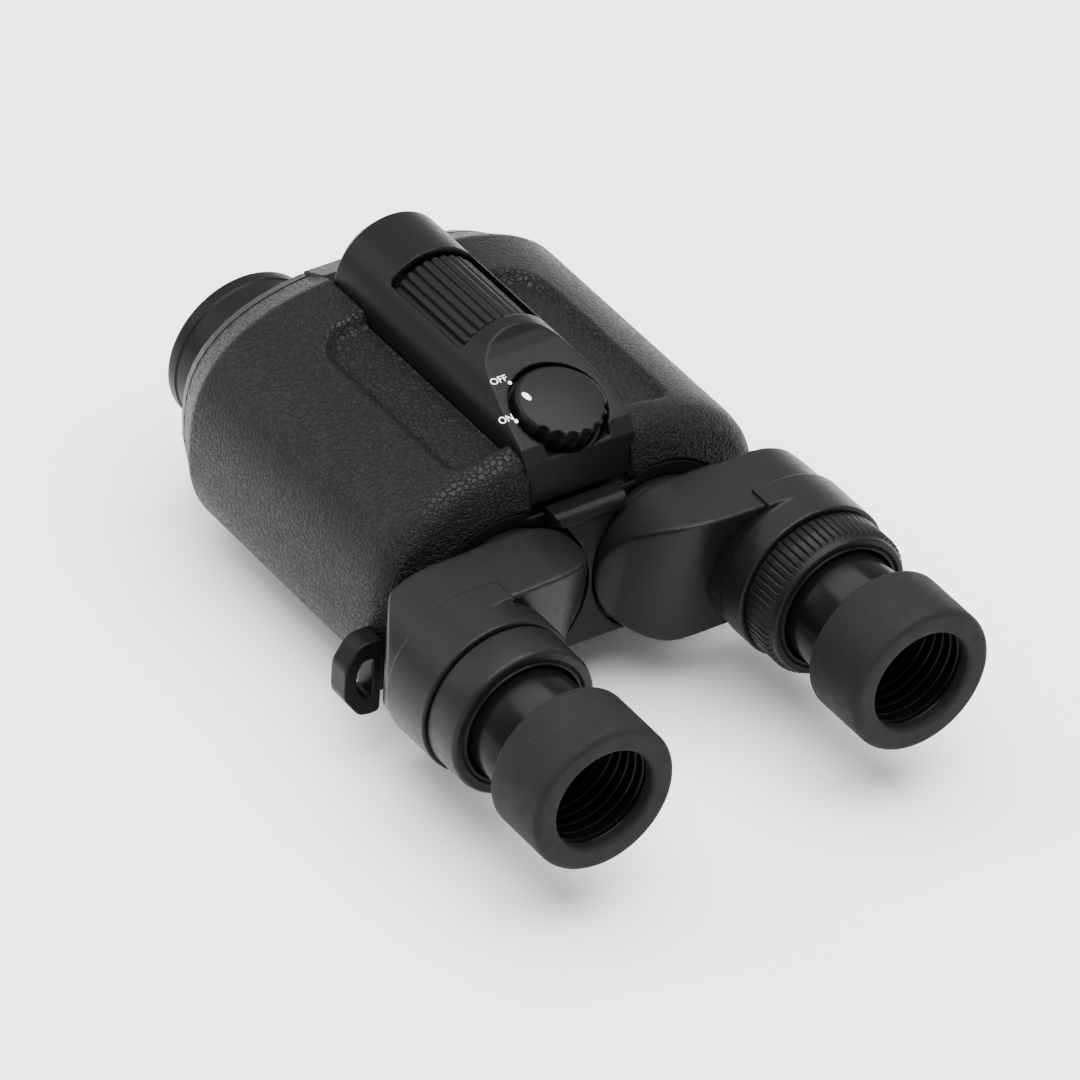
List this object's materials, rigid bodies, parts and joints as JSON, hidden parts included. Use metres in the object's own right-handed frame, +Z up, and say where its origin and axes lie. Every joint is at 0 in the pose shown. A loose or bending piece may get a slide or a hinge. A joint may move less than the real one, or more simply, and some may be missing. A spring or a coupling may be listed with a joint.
{
  "type": "binoculars",
  "caption": "Compact image-stabilised binoculars with a grained rubber body, a top focus roller, a tilted power dial and swinging eyepiece arms with twist-out eyecups.",
  "frame": {"origin": "under the middle of the object, on the surface that it stands on, with the arms level and the eyecups twisted out", "axes": "+Y from the eyecups towards the objectives, +Z up through the focus roller, +X to the user's right"},
  "size_m": [0.1098, 0.1612, 0.0716],
  "materials": {
    "armour": "leather-grained moulded rubber, satin",
    "cover": "fine-textured moulded plastic, satin",
    "arm": "fine-textured moulded plastic, satin",
    "eyecup_rubber": "plain soft rubber, matt",
    "grip": "ribbed grip, satin",
    "tube": "black, semi-gloss",
    "barrel": "black anodised, satin",
    "frame": "glass-filled moulding, matt",
    "light_alloy": "machined, satin",
    "steel": "plated steel",
    "screw_black": "black oxide",
    "lens": "coated optical glass",
    "prism": "optical glass",
    "board": "glass-fibre laminate with green resist",
    "coil": "enamelled copper winding",
    "cell": "wrapped lithium cell"
  },
  "bodies": {
    "body": {"body_chassis": "frame", "front_plate": "cover", "rear_plate": "cover", "rear_bracket": "cover", "base_plate": "cover", "top_cover": "cover", "base_screw_1": "screw_black", "base_screw_2": "screw_black", "base_screw_3": "screw_black", "base_screw_4": "screw_black", "battery_cell": "cell", "battery_contact": "steel", "rotary_switch": "frame", "circuit_board": "board", "screw_bearing": "light_alloy", "gimbal_bearing_upper": "light_alloy", "gimbal_bearing_lower": "light_alloy", "yaw_coil": "coil", "pitch_coil": "coil", "left_armour": "armour", "right_armour": "armour", "left_strap_lug": "cover", "right_strap_lug": "cover", "left_objective_barrel": "barrel", "right_objective_barrel": "barrel"},
    "battery_door": {"battery_door": "cover"},
    "power_dial": {"power_dial": "grip"},
    "focus_roller": {"focus_roller": "grip", "focus_screw": "steel"},
    "focus_carriage": {"focus_carriage": "frame", "left_objective_lens": "lens", "right_objective_lens": "lens", "left_objective_retainer": "barrel", "right_objective_retainer": "barrel"},
    "gimbal_outer": {"gimbal_outer": "light_alloy"},
    "gimbal_inner": {"gimbal_inner": "light_alloy", "left_erecting_prism": "prism", "right_erecting_prism": "prism"},
    "left_arm": {"left_arm_housing": "arm", "left_rhomboid_prism": "prism", "left_sync_gear": "light_alloy", "left_pivot_retainer": "steel", "left_eyepiece_ring": "arm", "left_lens_barrel": "tube", "left_eye_lens": "lens", "left_field_lens": "lens"},
    "right_arm": {"right_arm_housing": "arm", "right_rhomboid_prism": "prism", "right_sync_gear": "light_alloy", "right_pivot_retainer": "steel"},
    "diopter_ring": {"diopter_ring": "grip"},
    "diopter_cell": {"right_lens_barrel": "tube", "right_eye_lens": "lens", "right_field_lens": "lens"},
    "left_helicoid": {"left_helicoid_sleeve": "light_alloy"},
    "left_eyecup": {"left_eyecup": "eyecup_rubber", "left_eyecup_tube": "tube"},
    "right_helicoid": {"right_helicoid_sleeve": "light_alloy"},
    "right_eyecup": {"right_eyecup": "eyecup_rubber", "right_eyecup_tube": "tube"}
  },
  "joints": [
    {"name": "left_arm_swing", "type": "hinge", "parent": "body", "child": "left_arm", "pos_m": [-0.018, -0.0206, 0.03], "axis": [0, 1, 0], "range_deg": [0, 55]},
    {"name": "right_arm_swing", "type": "hinge", "parent": "body", "child": "right_arm", "pos_m": [0.018, -0.0206, 0.03], "axis": [0, 1, 0], "range_deg": [-55, 0]},
    {"name": "focus_roller_turn", "type": "hinge", "parent": "body", "child": "focus_roller", "pos_m": [0, 0.0274, 0.0599], "axis": [0, 1, 0], "range_deg": [-270, 270]},
    {"name": "focus_carriage_slide", "type": "slide", "parent": "body", "child": "focus_carriage", "axis": [0, 1, 0], "range_m": [-0.0025, 0.0025]},
    {"name": "power_dial_turn", "type": "hinge", "parent": "body", "child": "power_dial", "pos_m": [0, -0.0056, 0.0632], "axis": [0, -0.4472, 0.8944], "range_deg": [0, 45]},
    {"name": "gimbal_yaw", "type": "hinge", "parent": "body", "child": "gimbal_outer", "pos_m": [0, 0.0139, 0.03], "axis": [0, 0, 1], "range_deg": [-3, 3], "stiffness_Nm_per_rad": 0.05},
    {"name": "gimbal_pitch", "type": "hinge", "parent": "gimbal_outer", "child": "gimbal_inner", "pos_m": [0, 0.0139, 0.03], "axis": [1, 0, 0], "range_deg": [-3, 3], "stiffness_Nm_per_rad": 0.05},
    {"name": "battery_door_slide", "type": "slide", "parent": "body", "child": "battery_door", "axis": [0, 1, 0], "range_m": [0, 0.034]},
    {"name": "diopter_ring_turn", "type": "hinge", "parent": "right_arm", "child": "diopter_ring", "pos_m": [0.0375, -0.0486, 0.03], "axis": [0, 1, 0], "range_deg": [-60, 60]},
    {"name": "diopter_cell_slide", "type": "slide", "parent": "right_arm", "child": "diopter_cell", "axis": [0, 1, 0], "range_m": [-0.0015, 0.0015]},
    {"name": "left_eyecup_twist", "type": "hinge", "parent": "left_arm", "child": "left_helicoid", "pos_m": [-0.0375, -0.0406, 0.03], "axis": [0, 1, 0], "range_deg": [0, 150]},
    {"name": "left_eyecup_slide", "type": "slide", "parent": "left_helicoid", "child": "left_eyecup", "axis": [0, 1, 0], "range_m": [0, 0.0095]},
    {"name": "right_eyecup_twist", "type": "hinge", "parent": "right_arm", "child": "right_helicoid", "pos_m": [0.0375, -0.0406, 0.03], "axis": [0, 1, 0], "range_deg": [0, 150]},
    {"name": "right_eyecup_slide", "type": "slide", "parent": "right_helicoid", "child": "right_eyecup", "axis": [0, 1, 0], "range_m": [0, 0.0095]}
  ],
  "couplings": [
    {"joint": "right_arm_swing", "follows": "left_arm_swing", "ratio": -1},
    {"joint": "focus_roller_turn", "follows": "focus_carriage_slide", "rad_per_m": 1885},
    {"joint": "diopter_ring_turn", "follows": "diopter_cell_slide", "rad_per_m": 698.13},
    {"joint": "left_eyecup_twist", "follows": "left_eyecup_slide", "rad_per_m": 275.58},
    {"joint": "right_eyecup_twist", "follows": "right_eyecup_slide", "rad_per_m": 275.58}
  ]
}
